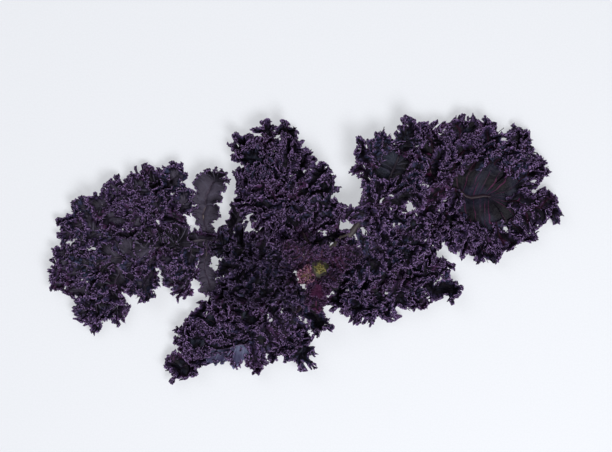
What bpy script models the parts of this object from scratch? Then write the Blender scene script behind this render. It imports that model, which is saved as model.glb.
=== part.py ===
"""The top of a curly purple kale plant, lying on its splayed leaves with the growing tip up.

A short cut stem stands in the middle. Eight leaves spread from it over the surface and lie
on each other in two layers, and six small heart leaves ring the bud. Every leaf is one solid:
a thick leaf stalk that runs on as the midrib, and a blade with lobes on both sides whose
margin curls up. The origin is on the surface, under the middle of the whole bunch.
"""
import math
from collections import namedtuple

import bmesh
import bpy
from mathutils import Vector

MM = 0.001
COLLECTION_NAME = "purple_kale_bunch"

# The stem: a turned stub, cut flat below, that tapers to the growing tip.
STEM_X = 20.0
STEM_Y = -22.0
STEM_RADIUS = 11.0
STEM_SHOULDER = 27.0
STEM_TOP = 38.0
STEM_TOP_RADIUS = 5.0
STEM_STEPS = 20
BUD_RADIUS = 4.6
BUD_HEIGHT = 12.0
GAP = 0.3
STALK_GAP = 0.9

# Section of a leaf, from the stalk to the thin blade.
STALK_THICKNESS = 8.0
STALK_HALF_WIDTH = 4.2
BLADE_SHARE = 0.26
TIP_THICKNESS_SHARE = 0.5
STALK_STATIONS = (0.0, 0.3, 0.6, 0.86)
MARGIN_WAVE = 3.5
WAVE_STEP = 2.4
SHOULDER_LENGTH = 0.93
SHOULDER_TURN = 4.0
TIP_SHOULDER_ANGLE = 14.0
TIP_SINUS_ANGLE = 18.0
NEAR_SIDE, LOBE_MIDDLE, FAR_SIDE = 0.22, 0.45, 0.95
LAST_LOBE_ROOM = 0.2

# Rows of points from the midrib to the margin, as shares of the reach of the blade, and the
# same rows' shares of the stalk's thickness along the stalk. The second row edges the midrib.
ROW_REACH = (0.0, 0.25, 0.42, 0.76, 1.0)
STALK_ROWS = (1.0, 0.9, 0.7, 0.55, 0.4)
MIDRIB_EDGE = 4.0
MIDRIB_EDGE_THICKNESS = 0.35
LOBE_ANGLES = (92.0, 80.0, 64.0, 44.0)

HEART_SCALE = 0.45
HEART_COUNT = 6
HEART_TURN = 24.0

PURPLE = (0.028, 0.016, 0.036, 1.0)
VIOLET = (0.060, 0.030, 0.070, 1.0)
STEM_GREEN = (0.330, 0.380, 0.240, 1.0)
BUD_PINK = (0.300, 0.120, 0.160, 1.0)

# Millimetres. midrib: x, y and the height of its underside, from the stem to the tip lobe's
# root. left and right: the lobes' lengths from the stalk outwards. tip: the tip lobe's length.
# curl_left and curl_right: how far each margin rises. sinus: depth left between two lobes.
Leaf = namedtuple(
    "Leaf", "name midrib blade_from left right tip curl_left curl_right sinus angles_left angles_right"
)


def stem_side(azimuth, under):
    """Start of a stalk against the stem's side, at an azimuth in degrees."""
    reach = STEM_RADIUS + STALK_GAP
    turn = math.radians(azimuth)
    return (STEM_X + reach * math.cos(turn), STEM_Y + reach * math.sin(turn), under)


LEAVES = (
    Leaf(
        "leaf_top",
        (stem_side(109, 8), (6, 20, 11), (-8, 52, 7), (-22, 86, 2)),
        0.24, (44, 58, 60, 58), (34, 42, 44, 42), 42, 16, 22, 0.62,
        (70, 64, 54, 40), LOBE_ANGLES,
    ),
    Leaf(
        "leaf_far_left",
        (stem_side(163, 3), (-40, -4, 1), (-90, 4, 0), (-141, -3, 0), (-190, -13, 0)),
        0.46, (58, 58, 60, 86), (72, 83, 78, 74), 68, 20, 24, 0.40,
        (96, 88, 76, 58), (100, 88, 74, 52),
    ),
    Leaf(
        "leaf_left",
        (stem_side(177, 17), (-20, -22, 18), (-40, -22, 15), (-58, -21, 11)),
        0.24, (38, 42, 42, 34), (28, 34, 36, 33), 27, 16, 14, 0.70, LOBE_ANGLES, LOBE_ANGLES,
    ),
    Leaf(
        "leaf_lower_left",
        (stem_side(249, 3), (2, -62, 1), (-28, -88, 0), (-62, -102, 0), (-86, -110, 0)),
        0.22, (44, 42, 35, 28), (26, 46, 58, 52), 45, 20, 14, 0.62, LOBE_ANGLES, LOBE_ANGLES,
    ),
    Leaf(
        "leaf_lower_right",
        (stem_side(-14, 4), (60, -30, 1), (94, -36, 0), (124, -41, 0)),
        0.18, (20, 24, 28, 34), (42, 50, 46, 36), 35, 2, 22, 0.66, LOBE_ANGLES, LOBE_ANGLES,
    ),
    Leaf(
        "leaf_right",
        (stem_side(40, 2), (70, 25, 0), (122, 54, 0), (170, 53, 0), (208, 45, 0)),
        0.55, (62, 84, 76, 66), (50, 66, 66, 58), 50, 16, 22, 0.60,
        (84, 70, 56, 40), (88, 76, 62, 44),
    ),
    Leaf(
        "leaf_upper_right",
        (stem_side(58, 18), (34, -1, 20), (54, 15, 22), (77, 42, 22), (88, 66, 18), (98, 87, 14)),
        0.55, (24, 38, 42, 38), (32, 38, 40, 40), 45, 18, 14, 0.66,
        LOBE_ANGLES, (72, 60, 50, 38),
    ),
    Leaf(
        "leaf_inner_right",
        (stem_side(16, 16), (56, -12, 15), (80, -1, 13), (100, 9, 11)),
        0.38, (16, 18, 18, 20), (24, 28, 32, 30), 26, 10, 10, 0.70, LOBE_ANGLES, LOBE_ANGLES,
    ),
)


def heart_leaf(index):
    """One of the ring of small leaves round the bud: every other one is shorter and steeper."""
    inner = index % 2 == 1
    turn = math.radians(HEART_TURN + 360.0 * index / HEART_COUNT)
    reaches = (9.2, 15.0, 20.0) if inner else (9.6, 22.0, 34.0)
    heights = (37.0, 48.0, 58.0) if inner else (31.0, 34.0, 38.0)
    midrib = tuple(
        (STEM_X + reach * math.cos(turn), STEM_Y + reach * math.sin(turn), height)
        for reach, height in zip(reaches, heights)
    )
    lobes = (8.0, 9.0, 8.5) if inner else (11.0, 13.0, 13.0)
    tip = 8.0 if inner else 13.0
    angles = (90.0, 70.0, 46.0)
    return Leaf(
        f"heart_leaf_{index + 1}", midrib, 0.30, lobes, lobes, tip, 3.0, 3.0, 0.75, angles, angles
    )


def clear_scene():
    """Remove every object of the open scene."""
    for obj in list(bpy.data.objects):
        bpy.data.objects.remove(obj, do_unlink=True)


def new_material(name, colour, roughness):
    """Plain finish: a colour and a roughness, with no metal in it."""
    material = bpy.data.materials.new(name)
    material.use_nodes = True
    shader = material.node_tree.nodes["Principled BSDF"]
    shader.inputs["Base Color"].default_value = colour
    shader.inputs["Roughness"].default_value = roughness
    shader.inputs["Metallic"].default_value = 0.0
    return material


def smooth_path(points, share):
    """Point at a share of the way along a Catmull-Rom curve through the points."""
    spans = len(points) - 1
    index = min(int(share * spans), spans - 1)
    f = share * spans - index
    start = points[index]
    end = points[index + 1]
    before = points[index - 1] if index > 0 else start * 2 - end
    after = points[index + 2] if index + 2 <= spans else end * 2 - start
    bend = before * 2 - start * 5 + end * 4 - after
    twist = start * 3 - before - end * 3 + after
    return (start * 2 + (end - before) * f + bend * f * f + twist * f * f * f) * 0.5


def side_rays(leaf, lengths, angles):
    """Rays from the midrib to one margin: (share along the midrib, angle to it, length).

    The stalk comes first. Each lobe then has its near side, its middle and its far side, and
    the ray between two lobes is shorter by the leaf's sinus share.
    """
    half_width = STALK_HALF_WIDTH * leaf_scale(leaf)
    rays = [(leaf.blade_from * share, 90.0, half_width) for share in STALK_STATIONS]
    count = len(lengths)
    blade = 1.0 - leaf.blade_from
    for k in range(count):
        near, root, far = (
            min(leaf.blade_from + blade * (k + place) / (count + LAST_LOBE_ROOM), 1.0)
            for place in (NEAR_SIDE, LOBE_MIDDLE, FAR_SIDE)
        )
        next_length = lengths[k + 1] if k + 1 < count else leaf.tip
        next_angle = angles[k + 1] if k + 1 < count else TIP_SINUS_ANGLE
        step = angles[k] - next_angle
        shoulder = lengths[k] * SHOULDER_LENGTH
        rays.append((near, angles[k] + (0.25 * step if k else 0.0), shoulder))
        rays.append((root, angles[k], lengths[k]))
        rays.append((root, angles[k] - max(0.2 * step, SHOULDER_TURN), shoulder))
        rays.append((far, angles[k] - 0.52 * step, leaf.sinus * (lengths[k] + next_length) / 2))
    rays.append((1.0, TIP_SHOULDER_ANGLE, leaf.tip * SHOULDER_LENGTH))
    return rays


def leaf_scale(leaf):
    """Stalk size against that of a full leaf."""
    return HEART_SCALE if leaf.name.startswith("heart") else 1.0


def leaf_columns(leaf):
    """All rays in turn: up the left side, over the tip and down the right side."""
    left = [(s, angle, length, leaf.curl_left) for s, angle, length in
            side_rays(leaf, leaf.left, leaf.angles_left)]
    right = [(s, -angle, length, leaf.curl_right) for s, angle, length in
             side_rays(leaf, leaf.right, leaf.angles_right)]
    middle = [(1.0, 0.0, leaf.tip, (leaf.curl_left + leaf.curl_right) / 2)]
    return left + middle + right[::-1]


def thickness_share(leaf, row, s):
    """Share of the stalk's thickness at a row of the blade and a place along the midrib."""
    along = 1.0 - (1.0 - TIP_THICKNESS_SHARE) * s
    if row == 0:
        return along
    if s < leaf.blade_from:
        return along * STALK_ROWS[row]
    return along * MIDRIB_EDGE_THICKNESS if row == 1 else 0.0


def row_distance(row, length, scale):
    """Distance from the midrib of a row of points, along a ray."""
    distance = length * ROW_REACH[row]
    return min(distance, MIDRIB_EDGE * scale) if row == 1 else distance


def leaf_point(leaf, path, column, ray, row):
    """Place of a point of the blade's middle surface, in millimetres, and its thickness share."""
    s, angle, length, curl = ray
    scale = leaf_scale(leaf)
    here = smooth_path(path, s)
    ahead = smooth_path(path, min(s + 0.01, 1.0)) - smooth_path(path, min(s + 0.01, 1.0) - 0.02)
    heading = math.atan2(ahead.y, ahead.x) + math.radians(angle)
    distance = row_distance(row, length, scale)
    reach = distance / length
    share = thickness_share(leaf, row, s)
    solid = STALK_THICKNESS * scale * (BLADE_SHARE + (1.0 - BLADE_SHARE) * share)
    stalk = STALK_THICKNESS * scale * (BLADE_SHARE + (1.0 - BLADE_SHARE) * thickness_share(leaf, 0, s))
    in_blade = s >= leaf.blade_from
    rise = curl * reach ** 2 if in_blade else 0.0
    wave = MARGIN_WAVE * scale * reach ** 2 * math.sin(WAVE_STEP * column) if in_blade else 0.0
    height = max(here.z + stalk / 2 + rise + wave, solid / 2)
    place = Vector((
        here.x + distance * math.cos(heading),
        here.y + distance * math.sin(heading),
        height,
    ))
    return place, share


def build_leaf(leaf, collection, material):
    """A leaf: a grid moved onto the blade's middle surface, then given its thickness."""
    path = [Vector(point) for point in leaf.midrib]
    columns = leaf_columns(leaf)
    mesh = bpy.data.meshes.new(leaf.name)
    shaper = bmesh.new()
    group = shaper.verts.layers.deform.new()
    last = len(columns) - 1
    rim = len(ROW_REACH) - 1
    bmesh.ops.create_grid(shaper, x_segments=last, y_segments=rim, size=1.0)
    for vert in shaper.verts:
        column = round((vert.co.x + 1.0) / 2.0 * last)
        row = round((vert.co.y + 1.0) / 2.0 * rim)
        place, share = leaf_point(leaf, path, column, columns[column], row)
        vert.co = place * MM
        vert[group][0] = share
    bmesh.ops.remove_doubles(shaper, verts=shaper.verts, dist=0.01 * MM)
    shaper.to_mesh(mesh)
    shaper.free()
    obj = bpy.data.objects.new(leaf.name, mesh)
    obj.vertex_groups.new(name="thickness")
    collection.objects.link(obj)
    mesh.materials.append(material)
    solid = obj.modifiers.new("thickness", "SOLIDIFY")
    solid.thickness = STALK_THICKNESS * leaf_scale(leaf) * MM
    solid.offset = 0.0
    solid.vertex_group = "thickness"
    solid.thickness_vertex_group = BLADE_SHARE
    return obj


def build_stem(collection, material):
    """The cut stem: a profile turned about the upright axis, closed at both ends on it."""
    profile = (
        (0.0, STEM_TOP),
        (STEM_TOP_RADIUS, STEM_TOP),
        (0.75 * STEM_RADIUS, STEM_SHOULDER + 5.0),
        (STEM_RADIUS, STEM_SHOULDER),
        (STEM_RADIUS, 1.0),
        (STEM_RADIUS - 1.0, 0.0),
        (0.0, 0.0),
    )
    mesh = bpy.data.meshes.new("cut_stem")
    points = [(radius * MM, 0.0, height * MM) for radius, height in profile]
    edges = [(k, k + 1) for k in range(len(points) - 1)]
    mesh.from_pydata(points, edges, [])
    obj = bpy.data.objects.new("cut_stem", mesh)
    obj.location = (STEM_X * MM, STEM_Y * MM, 0.0)
    collection.objects.link(obj)
    mesh.materials.append(material)
    turn = obj.modifiers.new("turn", "SCREW")
    turn.steps = STEM_STEPS
    turn.render_steps = STEM_STEPS
    turn.use_merge_vertices = True
    turn.merge_threshold = 0.00005
    turn.use_normal_calculate = False
    return obj


def build_bud(collection, material):
    """The growing tip: an upright egg shape just above the stem's top."""
    mesh = bpy.data.meshes.new("growing_tip")
    shaper = bmesh.new()
    bmesh.ops.create_uvsphere(shaper, u_segments=12, v_segments=8, radius=1.0)
    for vert in shaper.verts:
        narrow = 1.0 - 0.35 * max(vert.co.z, 0.0)
        vert.co = Vector((
            vert.co.x * BUD_RADIUS * narrow,
            vert.co.y * BUD_RADIUS * narrow,
            vert.co.z * BUD_HEIGHT / 2,
        )) * MM
    shaper.to_mesh(mesh)
    shaper.free()
    obj = bpy.data.objects.new("growing_tip", mesh)
    obj.location = Vector((STEM_X, STEM_Y, STEM_TOP + GAP + BUD_HEIGHT / 2)) * MM
    collection.objects.link(obj)
    mesh.materials.append(material)
    return obj


def main():
    """Build the stem, the bud, the eight leaves and the ring of heart leaves."""
    clear_scene()
    collection = bpy.data.collections.new(COLLECTION_NAME)
    bpy.context.scene.collection.children.link(collection)
    leaf_finish = new_material("kale_leaf", PURPLE, 0.5)
    heart_finish = new_material("kale_heart_leaf", VIOLET, 0.5)
    build_stem(collection, new_material("kale_stem", STEM_GREEN, 0.6))
    build_bud(collection, new_material("kale_bud", BUD_PINK, 0.5))
    for leaf in LEAVES:
        build_leaf(leaf, collection, leaf_finish)
    for index in range(HEART_COUNT):
        build_leaf(heart_leaf(index), collection, heart_finish)


main()
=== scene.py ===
"""Looks of a crown of curly purple kale, lying on its splayed leaves with the growing tip up.

Every leaf is a stalk that runs on as the midrib, with lobes on both sides and one at the end.
Each lobe is a sheet of rays from its own vein to its margin. The margin is gathered into frills
of four sizes, each laid on the one before, and cut into teeth. Lengths are in millimetres until
a mesh is made.
"""
import math
from collections import namedtuple

import bpy
import numpy as np
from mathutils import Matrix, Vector


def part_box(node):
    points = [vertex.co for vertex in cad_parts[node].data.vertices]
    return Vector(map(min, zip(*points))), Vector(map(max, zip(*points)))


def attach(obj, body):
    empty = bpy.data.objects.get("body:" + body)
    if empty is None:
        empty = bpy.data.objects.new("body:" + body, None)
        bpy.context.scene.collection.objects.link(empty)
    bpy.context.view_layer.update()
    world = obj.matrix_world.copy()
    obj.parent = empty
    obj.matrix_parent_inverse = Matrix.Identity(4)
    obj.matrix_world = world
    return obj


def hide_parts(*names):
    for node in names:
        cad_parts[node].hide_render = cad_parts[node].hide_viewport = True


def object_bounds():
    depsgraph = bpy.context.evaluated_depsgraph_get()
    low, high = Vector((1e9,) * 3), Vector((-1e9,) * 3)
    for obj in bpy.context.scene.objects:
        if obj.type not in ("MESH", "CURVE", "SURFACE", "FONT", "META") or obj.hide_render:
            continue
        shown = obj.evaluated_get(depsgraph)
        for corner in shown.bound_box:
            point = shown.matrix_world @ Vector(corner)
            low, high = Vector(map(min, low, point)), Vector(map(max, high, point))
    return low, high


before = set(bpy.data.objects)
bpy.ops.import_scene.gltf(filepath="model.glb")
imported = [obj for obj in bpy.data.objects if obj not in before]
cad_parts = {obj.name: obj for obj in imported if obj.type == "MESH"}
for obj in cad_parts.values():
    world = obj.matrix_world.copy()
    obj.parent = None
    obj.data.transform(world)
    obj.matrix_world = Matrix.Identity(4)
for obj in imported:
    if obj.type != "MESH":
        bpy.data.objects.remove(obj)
CAD_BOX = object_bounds()

MM = 0.001

# ---------------- sizes and places

# Angles of the four listed lobes of a side to the midrib, unless a leaf gives its own, and the
# lobes' places, as shares of the blade's length.
LOBE_ANGLES = (92.0, 80.0, 64.0, 44.0)
LISTED = (np.arange(4) + 0.45) / 4.2

# midrib: x, y and height of its underside, from the stem to the tip lobe's root. blade_from:
# share of it where the blade starts. left, right: lengths of the lobes from the stalk outwards;
# tip: that of the tip lobe. count: lobes on each side. width: of a lobe to its length. neck: width
# of a lobe's root to its widest. curl: rise of the margin. lean: how far the margin tips back over
# the vein, to its rise. stray: how far an angle may stray. wing: width of the frilled strip along
# the midrib. frill: size of the frills. spacing: between the rays of a lobe along its margin.
# base: width of the undivided middle of the blade, and base_from where it starts. hollow: share
# of a far lobe's length that the middle takes. branches: side lobes on each side of a lobe; where
# there is more than one, the lobe nearest the stalk on each side and every other one of the crest
# are plain, which is smoother. crest: small lobes that stand along the midrib. finish: of its
# top. extra: more lobes, each a share of the midrib, a side (1 for the left), an angle, a length
# and 1 if plain. rolled: line and width of a strip that is rolled over, so that the blade's pale
# underside shows.
Leaf = namedtuple(
    "Leaf",
    "name midrib blade_from left right tip count width angles_left angles_right"
    " neck curl lean stray wing frill spacing base base_from hollow branches crest finish"
    " extra rolled",
    defaults=(
        LOBE_ANGLES, LOBE_ANGLES, 0.45, 12.0, 0.15, 8.0, 9.0, 0.9, 0.27, 0.0, 0.0, 0.0, 0, 0, "blade",
        (), (),
    ),
)

STEM_LOW, STEM_HIGH = np.array(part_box("cut_stem")) / MM
STEM = 0.5 * (STEM_LOW + STEM_HIGH)[:2]
STEM_RADIUS = 0.5 * (STEM_HIGH[0] - STEM_LOW[0])
STALK_GAP = 0.9
STALK_RADIUS = 4.0


def stem_side(azimuth, under):
    """Start of a stalk against the stem's side, at an azimuth in degrees."""
    reach = STEM_RADIUS + STALK_GAP
    turn = math.radians(azimuth)
    return (STEM[0] + reach * math.cos(turn), STEM[1] + reach * math.sin(turn), under)


LEAVES = (
    Leaf(
        "leaf_top", (stem_side(109, 8), (6, 20, 11), (-8, 52, 7), (-22, 86, 2)), blade_from=0.14,
        left=(40, 56, 60, 60), right=(42, 48, 48, 46), tip=44, count=8, width=0.52,
        angles_left=(70, 64, 52, 30), angles_right=(84, 72, 56, 27), curl=14.0,
    ),
    Leaf(
        "leaf_far_left",
        (stem_side(163, 3), (-40, -4, 1), (-90, 4, 0), (-141, -3, 0), (-190, -13, 0)),
        blade_from=0.46, left=(57, 55, 53, 83), right=(74, 89, 85, 79), tip=66, count=4, width=0.39,
        angles_left=(96, 75, 62, 41), angles_right=(96, 70, 65, 40), neck=0.34, curl=10.0,
        lean=0.08, stray=3.0, wing=6.0, frill=0.70, spacing=0.325, base=60.0, base_from=0.48,
        hollow=0.06, branches=2, crest=10, finish="smooth_blade", extra=((0.42, -1, 94, 42, 1),),
    ),
    # This leaf's blade has painted shade: a darker finish, as it lies in the shade of the others.
    Leaf(
        "leaf_left", (stem_side(177, 17), (-20, -22, 18), (-40, -22, 15), (-58, -21, 11)),
        blade_from=0.16, left=(38, 42, 46, 44), right=(28, 34, 42, 46), tip=27, count=6, width=0.60,
        angles_right=(92, 84, 70, 42), frill=0.85, finish="blade_with_painted_shade",
    ),
    Leaf(
        "leaf_lower_left",
        (stem_side(249, 3), (2, -62, 1), (-28, -88, 0), (-62, -102, 0), (-86, -110, 0)),
        blade_from=0.16, left=(41, 32, 24, 18), right=(34, 54, 63, 53), tip=50, count=8, width=0.56,
        angles_left=(50, 72, 62, 50), angles_right=(92, 80, 64, 36), curl=13.0, wing=10.0,
        extra=((0.41, 1, 92, 50, 0), (0.47, 1, 86, 33, 0), (0.62, 1, 80, 33, 0), (0.96, -1, 16, 32, 0)),
        rolled=(((-46, -102, 10), (-74, -104, 12), (-103, -102, 11)), 18.0),
    ),
    Leaf(
        "leaf_lower_right", (stem_side(-14, 4), (60, -30, 1), (94, -36, 0), (124, -41, 0)),
        blade_from=0.14, left=(20, 26, 41, 48), right=(46, 51, 35, 31), tip=38, count=7, width=0.60,
        curl=13.0, frill=0.88,
    ),
    Leaf(
        "leaf_right", (stem_side(40, 2), (70, 25, 0), (122, 54, 0), (170, 53, 0), (208, 45, 0)),
        blade_from=0.54, left=(68, 79, 80, 63), right=(58, 62, 70, 57), tip=51, count=6, width=0.62,
        angles_left=(84, 70, 53, 44), angles_right=(88, 76, 60, 24), curl=11.0, lean=0.10,
        stray=5.0, wing=10.0, spacing=0.29, base=100.0, base_from=0.62, hollow=0.46, branches=1,
        crest=4, finish="dark_blade",
    ),
    Leaf(
        "leaf_upper_right",
        (stem_side(58, 18), (34, -1, 20), (54, 15, 22), (77, 42, 22), (88, 66, 18), (98, 87, 14)),
        blade_from=0.44, left=(14, 24, 53, 44), right=(36, 46, 46, 38), tip=44, count=7, width=0.56,
        angles_right=(72, 60, 50, 38), base=58.0, base_from=0.66, hollow=0.34, crest=6,
    ),
    Leaf(
        "leaf_inner_right", (stem_side(16, 16), (56, -12, 15), (80, -1, 13), (100, 9, 11)),
        blade_from=0.16, left=(20, 22, 22, 22), right=(24, 28, 34, 36), tip=34, count=6, width=0.70,
        curl=9.0, lean=0.10, wing=7.0, frill=0.75, spacing=0.25,
    ),
)

# Frills of a full size: length along the flat margin, height, reach from the margin, sway.
BROAD_FRILLS = ((18.0, 4.4, 20.0, 2.6), (8.0, 2.4, 13.0, 1.1))
FINE_FRILLS = ((3.0, 1.55, 7.0, 0.6), (1.35, 0.6, 3.0, 0.2))
TOOTH_LENGTH = 2.2
TOOTH_PITCH = 1.7

# From this hollow on, the middle of a blade is wide, and its crest stops where it starts.
WIDE_HOLLOW = 0.3

# Degrees by which a lobe leaves the midrib wider than its listed angle, as its vein bends back,
# and by which a plain one, which bends the other way, leaves it narrower than that.
SET_OFF = 12.0
PLAIN_SET_OFF = 24.0

# Height by which every other lobe of a side lies above its neighbours.
LAP = 6.0

# A plain lobe's size of frills, rise of its margin and neck, each to those of the leaf.
PLAIN_FRILL = 0.55
PLAIN_CURL = 0.4
PLAIN_NECK = 0.7

BLADE_PARTS = ("left_half", "right_half", "crest", "rolled_edge")
BLADE_THICKNESS = 0.5
BLADE_CLEARANCE = 0.6
STALK_CLEARANCE = 0.2
STALK_FINISHES = {"leaf_upper_right": "pale_stalk", "leaf_far_left": "tan_stalk"}

HEART_COUNT = 6
HEART_TURN = 24.0
HEART_ANGLES = (100.0, 88.0, 70.0, 50.0)
HEART_SPACING = 0.23
HEART_FINISHES = ("young", "young", "young", "pink", "magenta", "young")
YOUNG_THICKNESS = 0.4

LEAF_SEED, HEART_SEED, BUD_SEED = 10, 300, 77

# Width of the floor, in metres, that the camera takes in, and how far it stands from the middle.
VIEW_WIDTH = 0.612
VIEW_OFFSET = (0.0064, 0.0226)


# ---------------- curves and waves


def smooth_path(points, shares):
    """Catmull-Rom curve: a cubic for each span, whose slope at a point is half the step between
    that point's neighbours. Returns the places at the given shares of the whole curve."""
    points = np.asarray(points, float)
    spans = len(points) - 1
    ends = np.vstack([2 * points[0] - points[1], points, 2 * points[-1] - points[-2]])
    at = np.clip(np.asarray(shares, float) * spans, 0.0, spans - 1e-9)
    index = at.astype(int)
    f = (at - index)[:, None]
    before, start, end, after = (ends[index + k] for k in range(4))
    bend = 2 * before - 5 * start + 4 * end - after
    twist = 3 * start - before - 3 * end + after
    return 0.5 * (2 * start + (end - before) * f + bend * f ** 2 + twist * f ** 3)


def path_headings(points, shares):
    """Unit vectors along the curve, from places one hundredth of it before and after."""
    shares = np.asarray(shares, float)
    low = np.clip(shares - 0.01, 0.0, 0.98)
    return unit(smooth_path(points, low + 0.02) - smooth_path(points, low))


def path_point(points, share):
    """The place and the heading at one share of the curve."""
    return smooth_path(points, [share])[0], path_headings(points, [share])[0]


def path_length(points):
    """Length of the curve, as the sum of forty chords."""
    steps = np.diff(smooth_path(points, np.linspace(0.0, 1.0, 41)), axis=0)
    return np.linalg.norm(steps, axis=1).sum()


def unit(vectors):
    """Vectors scaled to a length of one."""
    return vectors / np.maximum(np.linalg.norm(vectors, axis=-1, keepdims=True), 1e-9)


def wobble(rng, along, length):
    """Smooth random wave between about -1 and 1: five sines of unlike lengths and phases added."""
    lengths = length * rng.uniform(0.55, 1.9, 5)
    phases = rng.uniform(0.0, 2 * np.pi, 5)
    return sum(np.sin(2 * np.pi * along / size + phase) for size, phase in zip(lengths, phases)) / 2.6


# ---------------- a frilled lobe

# Depths of a sheet's rows from its margin. The outer rows use every column of points, the next
# ones every other column and the inner ones every fourth.
ROW_DEPTHS = np.array([0.0, 0.9, 1.9, 3.2, 5.0, 7.4, 10.6, 14.8, 20.0, 27.0, 36.0])
FINE_ROWS = 3
MEDIUM_ROWS = 3

# Rays that an outline is drawn with, before its margin is divided evenly. Counted from the root
# to the tip of a lobe, those up to FAN_FROM leave the straight part of its vein.
RAYS = 1200
FAN_FROM = 0.76


def ruffle(points, arc, depth, room, frill, rng):
    """One size of frill. The sheet moves along its own normal by height * sin(phase), and along
    its margin by sway * sin(2 * phase), which rounds each fold into a loop. Both fade from the
    margin inwards over the frill's reach. phase is 2 pi * arc / length, with a slow wander."""
    length, height, reach, sway = frill
    across = np.gradient(points, axis=0)
    outward = np.gradient(points, axis=1)
    normal = unit(np.cross(across, outward))
    tangent = unit(across)
    reach_here = np.minimum(reach, 0.85 * room)[:, None]
    fade = np.clip(1.0 - depth / reach_here, 0.0, 1.0) ** 1.4
    strength = fade * np.minimum(1.0, room / (1.1 * reach))[:, None]
    swell = 1.0 + 0.35 * wobble(rng, arc, 2.7 * length)[:, None]
    phase = (2 * np.pi * arc / length + 1.5 * wobble(rng, arc, 3.1 * length))[:, None]
    phase = phase + 0.9 * depth / reach * wobble(rng, arc, 5.0 * length)[:, None]
    lift = strength * swell * height * np.sin(phase)
    shift = strength * sway * np.sin(2 * phase)
    return points + normal * lift[..., None] + tangent * shift[..., None]


def lobe_rays(width, neck):
    """Rays from a lobe's vein to its margin, from one side of the root over the tip to the other.

    The first and last 38% of the rays leave the vein in turn, at 82 to 62 degrees, and the rest
    fan out from its end. A ray's length is half the width times a swell, the sine of its place
    to the power of 1.3, which runs from the neck's share at the root to one.
    Returns each ray's place along the straight part of the vein, its angle and its length."""
    inward = 1.0 - np.abs(np.linspace(-1.0, 1.0, RAYS))
    side = np.where(np.arange(RAYS) < RAYS // 2, 1.0, -1.0)
    place = np.clip(inward / FAN_FROM, 0.0, 1.0)
    fan = np.clip((inward - FAN_FROM) / (1.0 - FAN_FROM), 0.0, 1.0)
    angle = side * np.radians(82.0 - 20.0 * place) * (1.0 - fan)
    swell = np.sin(0.5 * np.pi * np.clip(place / 0.7, 0.0, 1.0)) ** 1.3
    return place, angle, 0.5 * width * (neck + (1.0 - neck) * swell)


def add_teeth(points, arc, depth, size, rng):
    """Pointed teeth along the margin: a triangular wave of an uneven pitch. Each tooth has a
    length and a tilt of its own: it pushes the outer 3 mm outwards along the sheet by the
    length, and along the sheet's normal by the tilt."""
    outward = unit(np.gradient(points, axis=1))
    normal = unit(np.cross(np.gradient(points, axis=0), outward))
    turn = arc / (TOOTH_PITCH * size) + 0.6 * wobble(rng, arc, 6.0) + 5.0
    number = turn.astype(int)
    tooth = 1.0 - np.abs(2.0 * (turn % 1.0) - 1.0)
    lengths = rng.uniform(0.2, 1.4, number.max() + 1)[number]
    tilts = rng.uniform(-0.7, 0.7, number.max() + 1)[number]
    push = TOOTH_LENGTH * size * tooth[:, None] * np.clip(1.0 - depth / (3.2 * size), 0.0, 1.0)
    points = points + outward * (push * lengths[:, None])[..., None]
    return points + normal * (push * tilts[:, None])[..., None]


def frilled_sheet(line, share, angle, reach, curl, lean, size, spacing, rng, plain=0.0):
    """A sheet of rays from a line to a margin, given each ray's place, angle and length. A point
    is its ray's place on the line plus the ray's direction times the distance from it. The sheet
    rises near the margin by curl, and tips back over the line by lean times curl, both more in
    some places than in others. The broad frills, the teeth and the fine frills are each laid on
    the last. Returns the points and four notes on them: depth from the margin, distance from the
    line, place along the margin, and 1 where the sheet is plain."""
    here = smooth_path(line, share)
    ahead = path_headings(line, share)
    sideways = unit(np.cross([0.0, 0.0, 1.0], ahead))
    ray = np.cos(angle)[:, None] * ahead + np.sin(angle)[:, None] * sideways
    rim = here + reach[:, None] * ray
    arc = np.append(0.0, np.cumsum(np.linalg.norm(np.diff(rim, axis=0), axis=1)))
    columns = max(int(arc[-1] / spacing) // 4 * 4, 16)
    even = np.linspace(0.0, arc[-1], columns + 1)
    here, ray, upright = (
        np.stack([np.interp(even, arc, part[:, k]) for k in range(3)], axis=1)
        for part in (here, ray, np.cross(ahead, sideways))
    )
    room = np.interp(even, arc, reach)
    rows = ROW_DEPTHS[ROW_DEPTHS < 0.93 * room.max()]
    outness = np.append(1.0 - rows / room.max(), 0.015)[::-1]
    depth = room[:, None] * (1.0 - outness)
    lateral = room[:, None] * outness
    bowl = np.clip(1.0 - depth / 20.0, 0.0, 1.0) ** 1.6 * np.minimum(1.0, room / 12.0)[:, None]
    rise = curl * (0.8 + 0.5 * wobble(rng, even, 30.0))[:, None] * bowl
    tip_back = curl * (lean + 0.35 * np.clip(wobble(rng, even, 22.0), -0.5, 1.0))[:, None] * bowl
    points = here[:, None, :] + ray[:, None, :] * (lateral - tip_back)[..., None]
    points = points + upright[:, None, :] * rise[..., None]
    for frill in BROAD_FRILLS:
        points = ruffle(points, even, depth, room, np.multiply(frill, size), rng)
    points = add_teeth(points, even, depth, size, rng)
    for frill in FINE_FRILLS:
        points = ruffle(points, even, depth, room, np.multiply(frill, size), rng)
    notes = (depth, lateral, np.broadcast_to(even[:, None], depth.shape), np.full(depth.shape, plain))
    return points, np.stack(notes)


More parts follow.
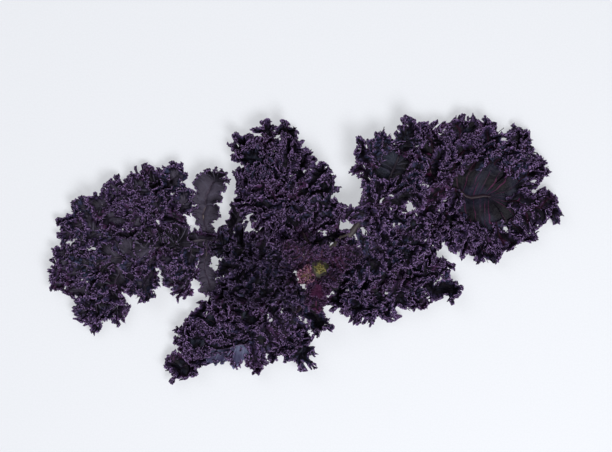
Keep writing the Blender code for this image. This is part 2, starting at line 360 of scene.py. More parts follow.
def lobe_sheet(vein, width, neck, curl, lean, size, spacing, rng, plain=0.0):
    """A lobe: a frilled sheet all the way round its vein. Its outline is scalloped by two waves,
    26 and 10 mm long, which are a third stronger on a plain lobe, as it has no branches."""
    length = path_length(vein)
    place, angle, reach = lobe_rays(width, neck)
    share = place * max(length - 0.5 * width, 0.35 * length) / length
    around = np.linspace(0.0, 2 * length + width, RAYS)
    scallops = 0.10 * wobble(rng, around, 26.0) + 0.22 * np.clip(wobble(rng, around, 10.0), -0.9, 0.7)
    reach = reach * (1.0 + (1.0 + 0.35 * plain) * scallops)
    return frilled_sheet(vein, share, angle, reach, curl, lean, size, spacing, rng, plain)


def wing_sheet(path, start, end, side, width, curl, size, spacing, rng, plain=0.0):
    """A narrow frilled strip along one side of a line, such as the midrib, where it fills the
    bays between lobes. Its width is drawn in at both ends, as a sine to the power of 0.4."""
    share = np.linspace(start, end, RAYS)
    along = share * path_length(path)
    ends = np.sin(np.pi * np.linspace(0.02, 0.98, RAYS)) ** 0.4
    reach = width * ends * (1.0 + 0.3 * np.clip(wobble(rng, along, 12.0), -1.0, 1.0))
    angle = np.full(RAYS, side * math.radians(80.0))
    return frilled_sheet(path, share, angle, reach, curl, 0.1, size, spacing, rng, plain)


def tousle(points, waves):
    """Bend the space that the leaf is in. Each wave moves a point along the wave's own direction
    by amount * sin(2 pi * (place along its heading) / length + phase), and waves are added."""
    moved = np.zeros_like(points)
    for heading, length, phase, shift in waves:
        moved += np.sin(2 * np.pi * (points @ heading) / length + phase)[..., None] * shift
    return points + moved


def tousle_waves(rng):
    """Nine waves, 14 to 50 mm long, with a shift of a twenty-second part of their length."""
    waves = []
    for length in np.geomspace(14.0, 50.0, 9):
        heading = unit(rng.normal(size=3) * (1.0, 1.0, 0.6))
        shift = unit(rng.normal(size=3) * (1.0, 1.0, 0.8)) * length / 22.0
        waves.append((heading, length, rng.uniform(0.0, 2 * np.pi), shift))
    return waves


def rest_on_floor(points, clearance):
    """Points below the clearance are pressed up to it, softly: height becomes
    clearance + soft * log(1 + exp((height - clearance) / soft))."""
    soft = 0.8
    height = (points[..., 2] - clearance) / soft
    points = points.copy()
    points[..., 2] = clearance + soft * np.logaddexp(0.0, height)
    return points


def graded_faces(columns, rows):
    """Faces of a grid that is coarse near the vein and fine at the margin: one column in four is
    used inside, one in two further out and all at the margin. Where two densities meet, a face
    has a fifth corner."""
    row = np.arange(rows)
    stride = np.where(row >= rows - FINE_ROWS, 1, np.where(row >= rows - FINE_ROWS - MEDIUM_ROWS, 2, 4))
    faces = []
    for low in range(rows - 1):
        start = np.arange(0, columns, stride[low])
        corners = [start * rows + low, (start + stride[low]) * rows + low]
        corners.append((start + stride[low]) * rows + low + 1)
        if stride[low + 1] != stride[low]:
            corners.append((start + stride[low + 1]) * rows + low + 1)
        corners.append(start * rows + low + 1)
        faces.append(np.stack(corners, axis=1))
    return faces


def blade_mesh(name, lobes):
    """One mesh from several lobes. Attributes keep, in millimetres, each point's depth from the
    margin, its distance from the vein and its place along the margin, and 1 on a plain lobe."""
    places, faces, notes = [], [], []
    offset = 0
    for points, marks in lobes:
        columns, rows = marks.shape[1:]
        local = graded_faces(columns - 1, rows)
        used = np.unique(np.concatenate([face.ravel() for face in local]))
        renumber = np.zeros(columns * rows, int)
        renumber[used] = np.arange(len(used)) + offset
        for face in local:
            faces.extend(renumber[face].tolist())
        places.append(points.reshape(-1, 3)[used])
        notes.append(marks.reshape(len(marks), -1)[:, used])
        offset += len(used)
    mesh = bpy.data.meshes.new(name)
    mesh.from_pydata((np.concatenate(places) * MM).tolist(), [], faces)
    labels = ("rim_depth", "vein_distance", "margin_place", "plain")
    for label, values in zip(labels, np.concatenate(notes, axis=1)):
        mesh.attributes.new(label, "FLOAT", "POINT").data.foreach_set("value", values.astype(np.float32))
    mesh.shade_smooth()
    return mesh


# ---------------- stalks and veins


def tube_grid(path, radii, flat, sides):
    """A round section carried along a path: each ring is the path's place plus radius * cos to
    the side and flat * radius * sin upwards, with the radii listed from the path's start."""
    shares = np.linspace(0.0, 1.0, len(radii))
    here = smooth_path(path, shares)
    ahead = path_headings(path, shares)
    sideways = unit(np.cross([0.0, 0.0, 1.0], ahead))
    upright = np.cross(ahead, sideways)
    turn = np.linspace(0.0, 2 * np.pi, sides, endpoint=False)
    ring = np.cos(turn)[None, :, None] * sideways[:, None, :] \
        + flat * np.sin(turn)[None, :, None] * upright[:, None, :]
    return here[:, None, :] + np.asarray(radii)[:, None, None] * ring


def tubes_mesh(name, grids):
    """One mesh from closed tubes: four-sided faces between rings, and one face across each end.
    An attribute keeps each point's share of the way along its tube."""
    places, faces, along = [], [], []
    offset = 0
    for grid in grids:
        rings, sides = grid.shape[:2]
        ring = np.arange(rings - 1)[:, None] * sides
        side = np.arange(sides)[None, :]
        after = (side + 1) % sides
        quads = np.stack([ring + side, ring + after, ring + sides + after, ring + sides + side], axis=-1)
        faces.extend((quads.reshape(-1, 4) + offset).tolist())
        faces.append((np.arange(sides)[::-1] + offset).tolist())
        faces.append((np.arange(sides) + offset + (rings - 1) * sides).tolist())
        places.append(grid.reshape(-1, 3))
        along.append(np.repeat(np.linspace(0.0, 1.0, rings), sides))
        offset += rings * sides
    mesh = bpy.data.meshes.new(name)
    mesh.from_pydata((np.concatenate(places) * MM).tolist(), [], faces)
    layer = mesh.attributes.new("along", "FLOAT", "POINT")
    layer.data.foreach_set("value", np.concatenate(along).astype(np.float32))
    mesh.shade_smooth()
    return mesh


# ---------------- leaves


def turned(vector, degrees):
    """A direction in plan turned to the left by an angle."""
    angle = math.radians(degrees)
    cos, sin = math.cos(angle), math.sin(angle)
    return np.array([vector[0] * cos - vector[1] * sin, vector[0] * sin + vector[1] * cos, 0.0])


def lobe_vein(root, heading, side, length, lift):
    """A lobe's vein: four points from its root, with the end lifted. Its three parts are turned
    from the heading by 0, 14 and 28 degrees, to the right where the side is 1 and to the left
    where it is -1. For a lobe on that side of the midrib, that bends it towards the leaf's tip."""
    first = turned(heading, 0.0) * 0.34 * length
    second = turned(heading, -14.0 * side) * 0.34 * length
    third = turned(heading, -28.0 * side) * 0.32 * length
    up = np.array([0.0, 0.0, 1.0])
    return [
        root,
        root + first + up * 0.2 * lift,
        root + first + second + up * 0.55 * lift,
        root + first + second + third + up * lift,
    ]


def leaf_path(leaf):
    """The middle line of the stalk and midrib: the underside's heights plus half its thickness."""
    path = np.array(leaf.midrib, float)
    taper = np.linspace(1.0, 0.45, len(path))
    path[:, 2] += STALK_RADIUS * taper
    return path


def grow_lobe(root, heading, side, length, lift, leaf, plain, rng):
    """A lobe, and the smaller lobes that branch from its vein to both sides. A plain one is
    smoother, bends away from the leaf's tip and has no branches."""
    vein = lobe_vein(root, heading, -side if plain else side, length, lift)
    width = length * leaf.width * rng.uniform(0.9, 1.15)
    size = leaf.frill * (PLAIN_FRILL if plain else 1.0)
    curl = leaf.curl * (PLAIN_CURL if plain else 1.0)
    neck = leaf.neck * (PLAIN_NECK if plain else 1.0)
    sheets = [lobe_sheet(vein, width, neck, curl, leaf.lean, size, leaf.spacing, rng, float(plain))]
    veins = [vein]
    branches = 0 if plain else leaf.branches
    for number in range(2 * branches):
        share = 0.22 + 0.56 * (number + 0.5) / (2 * branches)
        turn = (1 if number % 2 else -1) * rng.uniform(38.0, 62.0)
        fork, ahead = path_point(vein, share)
        heading = turned(unit(ahead * (1.0, 1.0, 0.0)), turn)
        short = length * rng.uniform(0.36, 0.48)
        branch = lobe_vein(fork, heading, -np.sign(turn), short, lift + rng.uniform(1.0, 6.0))
        sheets.append(lobe_sheet(
            branch, short * 0.7, 0.4, 0.8 * leaf.curl, leaf.lean, size, leaf.spacing, rng,
        ))
    return sheets, veins


def side_lobes(leaf, path, side, lengths, angles, rng):
    """The sheets and veins of the lobes on one side of a leaf. Lengths and angles between the
    listed ones are read between them, and every other lobe lies higher, so that neighbours lap.
    After them come the leaf's extra lobes and the strip along the midrib."""
    grown = []
    for k in range(leaf.count):
        along = (k + 0.45) / (leaf.count + 0.2)
        share = leaf.blade_from + (1.0 - leaf.blade_from) * along
        length = np.interp(along, LISTED, lengths) * (1.0 + 0.01 * leaf.stray * rng.uniform(-1.2, 0.4))
        angle = np.interp(along, LISTED, angles) + SET_OFF + rng.uniform(-leaf.stray, leaf.stray)
        plain = leaf.branches > 1 and k == 0
        root, ahead = path_point(path, share)
        heading = turned(ahead, side * (angle - PLAIN_SET_OFF * plain))
        hollow = leaf.hollow * min(1.0, along / 0.6)
        root = root + heading * hollow * length
        lift = 1.0 + LAP * (k % 2 == 0) + rng.uniform(-1.0, 3.0) + LAP * plain
        grown.append(grow_lobe(
            root, heading, side, length * (1.0 - hollow), lift, leaf, plain, rng,
        ))
    for share, aside, angle, length, plain in leaf.extra:
        if aside == side:
            root, ahead = path_point(path, share)
            heading = turned(ahead, side * angle)
            grown.append(grow_lobe(root, heading, side, length, LAP, leaf, plain, rng))
    lobes = [sheet for sheets, _ in grown for sheet in sheets]
    veins = [vein for _, lobe_veins in grown for vein in lobe_veins]
    lobes.append(wing_sheet(
        path, leaf.blade_from, leaf.base_from or 0.98, side, leaf.wing, 0.8 * leaf.wing,
        leaf.frill, leaf.spacing, rng,
    ))
    return lobes, veins


def crest_lobes(leaf, path, rng):
    """Small lobes that stand along the midrib, to its left and right in turn. On a leaf with a
    wide middle they stop just past its start."""
    start = leaf.blade_from + (0.12 if leaf.branches > 1 else 0.05)
    end = leaf.base_from + 0.06 if leaf.hollow > WIDE_HOLLOW else 0.95
    lobes = []
    for number in range(leaf.crest):
        side = (-1) ** number
        share = start + (end - start) * (number + 0.5) / leaf.crest
        root, ahead = path_point(path, share)
        heading = turned(ahead, rng.uniform(20.0, 150.0) * side)
        length = rng.uniform(17.0, 26.0)
        vein = lobe_vein(root + (0.0, 0.0, 3.0), heading, side, length, rng.uniform(3.0, 7.0))
        plain = float(leaf.branches > 1 and number % 2)
        lobes.append(lobe_sheet(
            vein, (0.85 + 0.4 * plain) * length, 0.5, (0.8 - 0.4 * plain) * leaf.curl, leaf.lean,
            (1.0 - 0.4 * plain) * leaf.frill, leaf.spacing, rng, plain,
        ))
    return lobes


def leaf_lobes(leaf, path, rng):
    """The sheets of a leaf, one list for each part of its blade, and the lobes' veins. The tip
    lobe goes with the right half, and the undivided middle, a lobe along the midrib that ends
    inside the tip lobe, with the left one."""
    left, veins = side_lobes(leaf, path, 1, leaf.left, leaf.angles_left, rng)
    right, right_veins = side_lobes(leaf, path, -1, leaf.right, leaf.angles_right, rng)
    end = path[-1]
    ahead = turned(path_headings(path, [1.0])[0], 0.0)
    tip, tip_veins = grow_lobe(end, ahead, 0, leaf.tip, 5.0, leaf, False, rng)
    right.extend(tip)
    if leaf.base:
        line = smooth_path(path, np.linspace(leaf.base_from, 1.0, 5))
        reach = (0.75 if leaf.hollow > WIDE_HOLLOW else 0.4) * leaf.tip
        line = list(line) + [end + ahead * reach]
        left.append(lobe_sheet(
            line, leaf.base, 0.3, 0.5 * leaf.curl, 0.0, 0.5 * leaf.frill, 1.2 * leaf.spacing, rng,
        ))
    crest = crest_lobes(leaf, path, rng)
    rolled = []
    if leaf.rolled:
        line, width = leaf.rolled
        rolled.append(wing_sheet(line, 0.0, 1.0, 1, width, -5.0, 0.2, leaf.spacing, rng, 1.0))
    return (left, right, crest, rolled), veins + right_veins + tip_veins


def place_piece(name, mesh, materials, node):
    """Link a finished mesh, give it its materials, and let it stand for its CAD node."""
    piece = bpy.data.objects.new(name, mesh)
    bpy.context.scene.collection.objects.link(piece)
    for material in materials:
        mesh.materials.append(material)
    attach(piece, "root")
    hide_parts(node)
    return piece


def thicken(piece, thickness):
    """Give a sheet its thickness, half to each side, with the second material underneath."""
    solid = piece.modifiers.new("thickness", "SOLIDIFY")
    solid.thickness = thickness * MM
    solid.offset = 0.0
    solid.material_offset = 1


def make_leaf(leaf, seed, finishes):
    """One leaf: the two halves of its blade, its crest and its rolled edge as thickened sheets,
    and its stalk, midrib and veins as tubes. The stalk thins by a tenth up to the blade and then
    to a quarter at the tip. One set of waves tousles all its parts."""
    rng = np.random.default_rng(seed)
    path = leaf_path(leaf)
    parts, veins = leaf_lobes(leaf, path, rng)
    waves = tousle_waves(rng)
    for part, lobes in zip(BLADE_PARTS, parts):
        if not lobes:
            continue
        lobes = [
            (rest_on_floor(tousle(points, waves), BLADE_CLEARANCE), marks) for points, marks in lobes
        ]
        name = f"{leaf.name}_{part}"
        top = "pale_blade" if part == "rolled_edge" else leaf.finish
        blade = place_piece(
            name, blade_mesh(name, lobes), (finishes[top], finishes["underside"]),
            leaf.name,
        )
        thicken(blade, BLADE_THICKNESS)
    taper = np.append(np.linspace(1.0, 0.9, 6), np.linspace(0.86, 0.24, 26)) * STALK_RADIUS
    grids = [tube_grid(path, taper, 0.9, 14)]
    for vein in veins:
        grids.append(tube_grid(vein, np.linspace(1.15, 0.3, 12), 1.0, 6))
    grids = [rest_on_floor(tousle(grid, waves), STALK_CLEARANCE) for grid in grids]
    place_piece(
        leaf.name + "_stalk", tubes_mesh(leaf.name + "_stalk", grids),
        (finishes[STALK_FINISHES.get(leaf.name, "stalk")],), leaf.name,
    )


# ---------------- heart leaves, bud and stem


def heart_path(index):
    """Midrib of one of the ring of small leaves, three points outwards and upwards from the stem.
    Every other one belongs to the inner ring, which is shorter and steeper."""
    inner = index % 2 == 1
    turn = math.radians(HEART_TURN + 360.0 * index / HEART_COUNT)
    reaches = (9.2, 14.5, 18.5) if inner else (9.6, 20.0, 30.0)
    heights = (38.8, 47.0, 54.0) if inner else (32.8, 37.5, 41.0)
    return np.array([
        (STEM[0] + reach * math.cos(turn), STEM[1] + reach * math.sin(turn), height)
        for reach, height in zip(reaches, heights)
    ])


def make_heart_leaf(index, finishes):
    """A small leaf of the heart: four lobes on each side and one at the end, finely frilled. The
    magenta one has a smooth middle as well."""
    rng = np.random.default_rng(HEART_SEED + index)
    name = f"heart_leaf_{index + 1}"
    path = heart_path(index)
    inner = index % 2 == 1
    size = (10.0 if inner else 14.5) * rng.uniform(0.85, 1.1)
    frill = 0.5 if inner else 0.62
    finish = finishes[HEART_FINISHES[index]]
    lobes, veins = [], []
    for side in (1, -1):
        for k, angle in enumerate(HEART_ANGLES):
            share = 0.12 + 0.86 * (k + 0.45) / 4.2
            root, ahead = path_point(path, share)
            heading = turned(unit(ahead * (1.0, 1.0, 0.0)), side * (angle + rng.uniform(-9.0, 9.0)))
            length = size * rng.uniform(0.85, 1.1)
            vein = lobe_vein(root, heading, side, length, rng.uniform(1.0, 8.0))
            lobes.append(lobe_sheet(vein, length * 0.8, 0.45, 7.0, 0.3, frill, HEART_SPACING, rng))
            veins.append(vein)
    ahead = path_headings(path, [1.0])[0]
    vein = [path[-1], path[-1] + ahead * 0.5 * size, path[-1] + ahead * size]
    lobes.append(lobe_sheet(vein, size, 0.45, 5.0, 0.2, frill, HEART_SPACING, rng))
    if HEART_FINISHES[index] == "magenta":
        middle = smooth_path(path, (0.3, 0.65, 1.0)) + (0.0, 0.0, 4.0)
        lobes.append(lobe_sheet(middle, 17.0, 0.5, 3.0, 0.0, 0.3, HEART_SPACING, rng, 1.0))
    veins.append(vein)
    blade = place_piece(
        name + "_blade", blade_mesh(name + "_blade", lobes),
        (finish, finish), name,
    )
    thicken(blade, YOUNG_THICKNESS)
    grids = [tube_grid(path, np.linspace(1.9, 0.5, 14), 0.85, 10)]
    grids.extend(tube_grid(vein, np.linspace(0.5, 0.15, 8), 1.0, 5) for vein in veins)
    place_piece(
        name + "_stalk", tubes_mesh(name + "_stalk", grids),
        (finishes["young_stalk"],), name,
    )


def make_bud(finishes):
    """The growing tip: six tiny leaflets, folded upwards round a cone, in two rings. The cone's
    radius is 2.8 mm times the root of one less the square of its height's share."""
    low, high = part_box("growing_tip")
    base, top = low[2] / MM, high[2] / MM
    rng = np.random.default_rng(BUD_SEED)
    lobes = []
    for index in range(6):
        turn = math.radians(60.0 * index + rng.uniform(-14.0, 14.0))
        outer = index % 2 == 0
        out = np.array([math.cos(turn), math.sin(turn), 0.0])
        reaches = (1.6, 3.4, 4.6) if outer else (1.2, 2.2, 2.4)
        heights = (base + 1.0, base + 4.0, top - 2.0) if outer else (base + 3.0, base + 7.0, top)
        vein = [
            np.array([STEM[0], STEM[1], height]) + out * reach for reach, height in zip(reaches, heights)
        ]
        lobes.append(lobe_sheet(vein, 5.4, 0.5, 2.0, 0.2, 0.42, 0.18, rng))
    blade = place_piece(
        "bud_leaflets", blade_mesh("bud_leaflets", lobes), (finishes["bud"], finishes["bud"]),
        "growing_tip",
    )
    thicken(blade, YOUNG_THICKNESS)
    cone = tube_grid(
        [(STEM[0], STEM[1] + 0.01 * k, base + k * (top - base - 3.0) / 3.0) for k in range(4)],
        2.8 * np.sqrt(1.0 - np.linspace(0.0, 0.97, 14) ** 2), 1.0, 20,
    )
    place_piece("bud_cone", tubes_mesh("bud_cone", [cone]), (finishes["bud"],), "growing_tip")


def make_stem(finishes):
    """The cut stem: rings of a circle whose radius draws in over its top third, and in its first
    hundredth for the cut edge. Leaf scars are low swellings, each raised by a bell curve round
    one of nine places on a spiral, with a smaller dent above it."""
    height = STEM_HIGH[2] - STEM_LOW[2]
    rise = np.linspace(0.0, 1.0, 90)[:, None]
    turn = np.linspace(0.0, 2 * np.pi, 120, endpoint=False)[None, :]
    draw = np.clip((rise - 0.68) / 0.32, 0.0, 1.0)
    radius = STEM_RADIUS - 0.6 - 5.6 * draw ** 1.5 + 0.25 * np.sin(5 * turn)
    for number in range(9):
        aside = np.angle(np.exp(1j * (turn - 2.4 * number)))
        above = rise - 0.12 - 0.085 * number
        radius = radius + 0.75 * np.exp(-(aside / 0.42) ** 2 - (above / 0.045) ** 2)
        radius = radius - 0.45 * np.exp(-(aside / 0.30) ** 2 - ((above - 0.04) / 0.03) ** 2)
    edge = np.clip(rise / 0.015, 0.0, 1.0) ** 0.5
    radius = radius * (0.95 + 0.05 * edge)
    up = np.broadcast_to(height * rise, radius.shape)
    grid = np.stack(
        [STEM[0] + radius * np.cos(turn), STEM[1] + radius * np.sin(turn), up], axis=-1,
    )
    place_piece(
        "cut_stem_flesh", tubes_mesh("cut_stem_flesh", [grid]), (finishes["stem"],),
        "cut_stem",
    )


# ---------------- finishes


def linear(code):
    """sRGB hex colour as linear red, green, blue and alpha."""
    values = [int(code[k:k + 2], 16) / 255.0 for k in (1, 3, 5)]
    return tuple(v / 12.92 if v <= 0.04045 else ((v + 0.055) / 1.055) ** 2.4 for v in values) + (1.0,)


def add_node(tree, kind, inputs=None, **settings):
    """Add a node with its settings. Each input, by name or number, is a constant or an output."""
    made = tree.nodes.new(kind)
    for key, value in settings.items():
        setattr(made, key, value)
    for key, value in (inputs or {}).items():
        if isinstance(value, bpy.types.NodeSocket):
            tree.links.new(value, made.inputs[key])
        else:
            made.inputs[key].default_value = value
    return made


def new_finish(name, roughness, gloss):
    """A material, its tree, its Principled shader and the surface's place in metres."""
    material = bpy.data.materials.new(name)
    material.use_nodes = True
    tree = material.node_tree
    shader = tree.nodes["Principled BSDF"]
    shader.inputs["Roughness"].default_value = roughness
    shader.inputs["Specular IOR Level"].default_value = gloss
    return material, tree, shader, add_node(tree, "ShaderNodeTexCoord").outputs["Object"]


def coats(tree, colour, layers):
    """Lay colours over a first one in turn. A layer shows in full where its measure is at the
    second of its bounds or past it, and not at all at the first, and softly between them."""
    for measure, none, full, over in layers:
        share = add_node(
            tree, "ShaderNodeMapRange", {"Value": measure, "From Min": none, "From Max": full},
            interpolation_type="SMOOTHSTEP",
        ).outputs["Result"]
        colour = add_node(
            tree, "ShaderNodeMix", {0: share, 6: colour, 7: over}, data_type="RGBA",
        ).outputs[2]
    return colour


def cover(tree, shader, colour, reliefs):
    """Join a colour and bumps to the shader: each relief is a height, its strength and its size
    in metres, and each bump is laid on the one before."""
    tree.links.new(colour, shader.inputs["Base Color"])
    normal = None
    for height, strength, size in reliefs:
        inputs = {"Height": height, "Strength": strength, "Distance": size}
        if normal:
            inputs["Normal"] = normal
        normal = add_node(tree, "ShaderNodeBump", inputs).outputs["Normal"]
    tree.links.new(normal, shader.inputs["Normal"])


def leaf_finish(name, violet, blue, magenta, dark, edge, inner, vein, veinlet, pitch=18.0, calm=8.0):
    """Waxy kale blade: near-black purple that drifts between violet, blue and magenta over 20 to
    40 mm, in mottles of 3 mm. Painted shade darkens it from 2 to 6 mm in from the margin, which is
    the floor of the folds. At the edge, painted highlights in flecks of 1.5 mm of the lighter edge
    colour lie on the dark colour as painted shade. The smooth middle starts at calm, in
    millimetres from the margin, and is whole at one and a half times that. It has its own colour
    and thin veins that run from the midrib to the margin, a pitch in millimetres apart there.
    Soft puckers of 9 mm and the mottles dent it, and the wax keeps it matt."""
    material, tree, shader, place = new_finish(name, 0.6, 0.12)
    marks = {
        mark: add_node(tree, "ShaderNodeAttribute", attribute_name=mark).outputs["Fac"]
        for mark in ("rim_depth", "vein_distance", "margin_place", "plain")
    }
    drift, puckers, mottle, highlight_flecks = (
        add_node(
            tree, "ShaderNodeTexNoise", {"Vector": place, "Scale": scale, "Detail": detail},
        ).outputs
        for scale, detail in ((32.0, 2.0), (110.0, 2.0), (330.0, 3.0), (620.0, 2.0))
    )
    drifts = add_node(tree, "ShaderNodeSeparateColor", {"Color": drift["Color"]}).outputs
    wander = add_node(
        tree, "ShaderNodeMath", {0: drifts["Red"], 1: 1.3 * pitch, 2: marks["margin_place"]},
        operation="MULTIPLY_ADD",
    ).outputs["Value"]
    stripe = add_node(
        tree, "ShaderNodeMath", {0: wander, 1: 0.5 * pitch}, operation="PINGPONG",
    ).outputs["Value"]
    room = add_node(
        tree, "ShaderNodeMath", {0: marks["vein_distance"], 1: marks["rim_depth"]}, operation="ADD",
    ).outputs["Value"]
    outness = add_node(
        tree, "ShaderNodeMath", {0: marks["vein_distance"], 1: room}, operation="DIVIDE",
    ).outputs["Value"]
    spread = add_node(
        tree, "ShaderNodeMath", {0: outness, 1: 0.35}, operation="MAXIMUM",
    ).outputs["Value"]
    aside = add_node(
        tree, "ShaderNodeMath", {0: stripe, 1: spread}, operation="MULTIPLY",
    ).outputs["Value"]
    middle = coats(tree, linear(inner), (
        (drifts["Blue"], 0.4, 0.62, linear(dark)),
        (aside, 0.65, 0.25, linear(veinlet)),
    ))
    # The outer margin: painted highlights, in flecks of the lighter edge colour, on the dark colour as
    # painted shade.
    rim = coats(tree, linear(dark), ((highlight_flecks["Fac"], 0.44, 0.55, linear(edge)),))
    colour = coats(tree, linear(violet), (
        (drifts["Red"], 0.42, 0.6, linear(blue)),
        (drifts["Green"], 0.5, 0.66, linear(magenta)),
        (mottle["Fac"], 0.58, 0.42, linear(dark)),
        # Painted shade at the floor of the folds, from 2 to 6 mm in from the margin.
        (marks["rim_depth"], 1.8, 6.5, linear(dark)),
        (marks["rim_depth"], calm, 1.5 * calm, middle),
        (marks["plain"], 0.0, 1.0, middle),
        # The margin's painted highlights and painted shade, over its outer 1.5 mm.
        (marks["rim_depth"], 1.5, 0.1, rim),
        (marks["vein_distance"], 1.4, 0.5, linear(vein)),
    ))
    cover(tree, shader, colour, ((puckers["Fac"], 0.5, 0.004), (mottle["Fac"], 0.6, 0.0015)))
    return material


def bud_finish(name, leaf, pink, shade, rim):
    """Bud leaflets: olive green that turns pink in patches of 5 mm, with a paler edge and shaded
    specks of 2 mm."""
    material, tree, shader, place = new_finish(name, 0.5, 0.2)
    patches, specks = (
        add_node(tree, "ShaderNodeTexNoise", {"Vector": place, "Scale": scale}).outputs["Fac"]
        for scale in (220.0, 420.0)
    )
    depth = add_node(tree, "ShaderNodeAttribute", attribute_name="rim_depth").outputs["Fac"]
    colour = coats(tree, linear(leaf), (
        (patches, 0.42, 0.6, linear(pink)),
        (specks, 0.6, 0.42, linear(shade)),
        (depth, 0.7, 0.0, linear(rim)),
    ))
    cover(tree, shader, colour, ((specks, 0.4, 0.001),))
    return material


def stem_finish(name, flesh, flush, scar):
    """Cut stem: pale green with a purple flush in streaks of 3 by 20 mm along it, and cork specks
    of 2 mm."""
    material, tree, shader, place = new_finish(name, 0.5, 0.3)
    drawn = add_node(tree, "ShaderNodeMapping", {"Vector": place, "Scale": (320.0, 320.0, 45.0)})
    streaks, specks = (
        add_node(
            tree, "ShaderNodeTexNoise", {"Vector": vector, "Scale": scale, "Detail": 4.0},
        ).outputs["Fac"]
        for vector, scale in ((drawn.outputs["Vector"], 1.0), (place, 500.0))
    )
    colour = coats(tree, linear(flesh), (
        (streaks, 0.35, 0.62, linear(flush)),
        (specks, 0.62, 0.72, linear(scar)),
    ))
    cover(tree, shader, colour, ((streaks, 0.3, 0.0008),))
    return material


def stalk_finish(name, skin, streak, end):
    """Stalks and veins: skin with paler streaks, 11 mm long, that turns to the end's colour in
    the second quarter of the stalk or vein. A faint sheen of wax."""
    material, tree, shader, place = new_finish(name, 0.5, 0.2)
    along = add_node(tree, "ShaderNodeAttribute", attribute_name="along").outputs["Fac"]
    streaks = add_node(
        tree, "ShaderNodeTexNoise", {"Vector": place, "Scale": 90.0, "Detail": 4.0},
    ).outputs["Fac"]
    colour = coats(tree, linear(skin), (
        (streaks, 0.3, 0.7, linear(streak)),
        (along, 0.25, 0.5, linear(end)),
    ))
    cover(tree, shader, colour, ((streaks, 0.3, 0.0008),))
    return material


# ---------------- floor, light and camera


def make_floor():
    """Plain pale floor, lit a little from inside like a light table, so shadows stay faint. Its
    glow grows away from the bunch, where the lamps don't reach. A grain of 1.7 mm, coarser than
    that of a real table, barely tints and dents it."""
    bpy.ops.mesh.primitive_plane_add(size=40.0, location=(0.0, 0.0, 0.0))
    floor = bpy.context.object
    floor.name = "floor"
    material, tree, shader, place = new_finish("pale_floor", 0.8, 0.3)
    away = add_node(tree, "ShaderNodeVectorMath", {0: place}, operation="LENGTH").outputs["Value"]
    glow = add_node(
        tree, "ShaderNodeMapRange",
        {"Value": away, "From Min": 0.4, "From Max": 3.0, "To Min": 0.49, "To Max": 0.76},
        interpolation_type="SMOOTHSTEP",
    ).outputs["Result"]
    grain = add_node(tree, "ShaderNodeTexNoise", {"Vector": place, "Scale": 600.0}).outputs["Fac"]
    colour = coats(tree, linear("#8F9195"), ((grain, 0.3, 0.7, linear("#939599")),))
    cover(tree, shader, colour, ((grain, 0.05, 0.0002),))
    shader.inputs["Emission Color"].default_value = linear("#F5F7FC")
    tree.links.new(glow, shader.inputs["Emission Strength"])
    floor.data.materials.append(material)


def make_light(name, place, size, power):
    """A square soft light that faces the bunch."""
    data = bpy.data.lights.new(name, "AREA")
    data.size = size
    data.energy = power
    lamp = bpy.data.objects.new(name, data)
    lamp.location = place
    lamp.rotation_euler = (-Vector(place)).to_track_quat("-Z", "Y").to_euler()
    bpy.context.scene.collection.objects.link(lamp)


def make_world(overhead, horizon):
    """White surroundings, brighter near the horizon, as in a room with pale walls."""
    world = bpy.data.worlds.new("studio")
    world.use_nodes = True
    tree = world.node_tree
    direction = add_node(tree, "ShaderNodeTexCoord").outputs["Generated"]
    up = add_node(tree, "ShaderNodeSeparateXYZ", {"Vector": direction}).outputs["Z"]
    strength = add_node(
        tree, "ShaderNodeMapRange",
        {"Value": up, "From Min": 0.12, "From Max": 0.3, "To Min": horizon, "To Max": overhead},
        interpolation_type="SMOOTHSTEP",
    ).outputs["Result"]
    tree.links.new(strength, tree.nodes["Background"].inputs["Strength"])
    tree.nodes["Background"].inputs["Color"].default_value = (1.0, 1.0, 1.0, 1.0)
    bpy.context.scene.world = world


def make_camera():
    """Straight above the bunch, a little behind its middle, at the height from which the lens
    takes in the view's width just above the floor."""
    middle = 0.5 * (Vector(CAD_BOX[0]) + Vector(CAD_BOX[1]))
    data = bpy.data.cameras.new("camera")
    data.lens = 85.0
    data.sensor_width = 36.0
    camera = bpy.data.objects.new("camera", data)
    height = VIEW_WIDTH * data.lens / data.sensor_width + 0.02
    camera.location = (middle.x + VIEW_OFFSET[0], middle.y + VIEW_OFFSET[1], height)
    bpy.context.scene.collection.objects.link(camera)
    bpy.context.scene.camera = camera


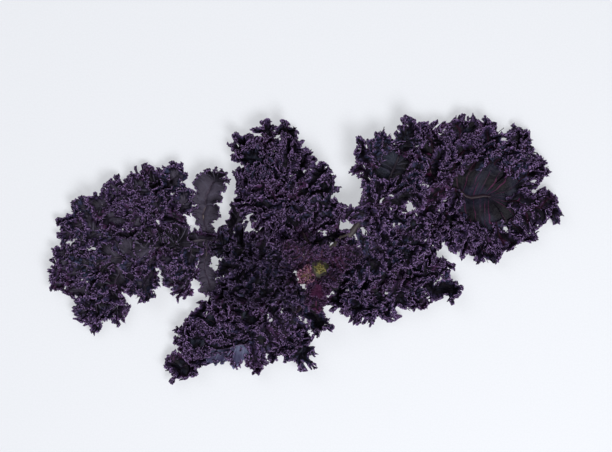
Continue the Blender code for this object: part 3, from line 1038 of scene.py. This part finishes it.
def make_finishes():
    """Every finish of the bunch, by the name that its pieces use. Most blades share the colours of the
    frills: violet, blue, magenta, the dark of the mottles and of the painted shade in the folds, and
    the edge's painted highlights."""
    # The fourth colour is the dark of the mottles and of the painted shade; the fifth is the painted
    # highlight of the edges.
    frills = ("#3C2D4F", "#2C3049", "#45284A", "#0A070F", "#735C86")
    return {
        # Near-black purple with painted shade in the folds and mauve flecks of painted highlight on the
        # edges, which gives the bunch its fine light and dark grain.
        "blade": leaf_finish("waxy_kale_blade", *frills, "#20232F", "#221A28", "#2A2836"),
        # The bloom of wax turns the smooth lobes and middles slate grey.
        "smooth_blade": leaf_finish(
            "waxy_kale_blade_with_bloom", *frills, "#37323F", "#3A3240", "#3B3745", calm=4.5,
        ),
        # Painted shade: the blade's colours made darker all over, as that leaf lies in the shade of the
        # others.
        "blade_with_painted_shade": leaf_finish(
            "shaded_kale_blade", "#241B36", "#1A1D30", "#2C1630", "#06040A", "#483A58",
            "#151520", "#1C1522", "#1E1C28",
        ),
        # A smooth middle of blue-black, crossed by wine-red veins that stand far apart.
        "dark_blade": leaf_finish(
            "dark_kale_blade_with_red_veins", *frills, "#1B1B29", "#2A1222", "#3E1634", 36.0,
        ),
        # The pale underside, which shows as a grey-lavender band where the blade rolls over.
        "pale_blade": leaf_finish(
            "kale_blade_rolled_edge", "#4A4660", "#454B64", "#54405A", "#2E2A44", "#74749A",
            "#4C5068", "#54465E", "#585A72",
        ),
        # Duller and lighter than the top, so that turned-up frills read as the other side.
        "underside": leaf_finish(
            "kale_blade_underside", "#3F3350", "#36384E", "#43304A", "#191420", "#66537A",
            "#3A3A4C", "#463A4C", "#464054",
        ),
        # Heart leaves: redder than the others, and two of them clearly magenta and pink.
        "young": leaf_finish(
            "young_kale_blade", "#322440", "#2A2440", "#431F3E", "#0B070F", "#5C4468",
            "#2A1C32", "#3A2034", "#34203A",
        ),
        "magenta": leaf_finish(
            "young_kale_blade_magenta", "#3A2040", "#301E3A", "#441C3A", "#0C060C", "#543A5C",
            "#381832", "#44203C", "#401C38",
        ),
        "pink": leaf_finish(
            "young_kale_blade_pink", "#46264A", "#38244A", "#5E3048", "#120810", "#8A6078",
            "#4A2440", "#6A5642", "#5A3A44",
        ),
        # The one green spot, flushed with pink.
        "bud": bud_finish("kale_bud_leaflet", "#565C30", "#643A48", "#1E1C16", "#7A7242"),
        # Stalks and veins: purple-black ones sink into their leaves, and the others show.
        "young_stalk": stalk_finish("young_kale_stalk", "#3A2238", "#5A4448", "#3E2838"),
        "stalk": stalk_finish("kale_stalk", "#1C1019", "#34202E", "#1E121C"),
        "tan_stalk": stalk_finish("kale_stalk_tan", "#3A323C", "#665A52", "#3C3440"),
        "pale_stalk": stalk_finish("kale_stalk_pale", "#443F3E", "#6A6358", "#1E1822"),
        # Green flesh with a purple flush, seen only from the side.
        "stem": stem_finish("cut_kale_stem", "#6E7450", "#4A3444", "#3E342E"),
    }


def main():
    """Make the leaves, the heart and the setting."""
    finishes = make_finishes()
    for number, leaf in enumerate(LEAVES):
        make_leaf(leaf, LEAF_SEED + number, finishes)
    for index in range(HEART_COUNT):
        make_heart_leaf(index, finishes)
    make_bud(finishes)
    make_stem(finishes)
    make_floor()
    make_light("main_light", (0.5, -0.7, 1.6), 0.8, 36.0)
    make_light("fill_light", (-0.9, 0.8, 1.7), 1.4, 14.0)
    make_world(0.33, 0.84)
    make_camera()
    bpy.context.scene.view_settings.view_transform = "Standard"


main()
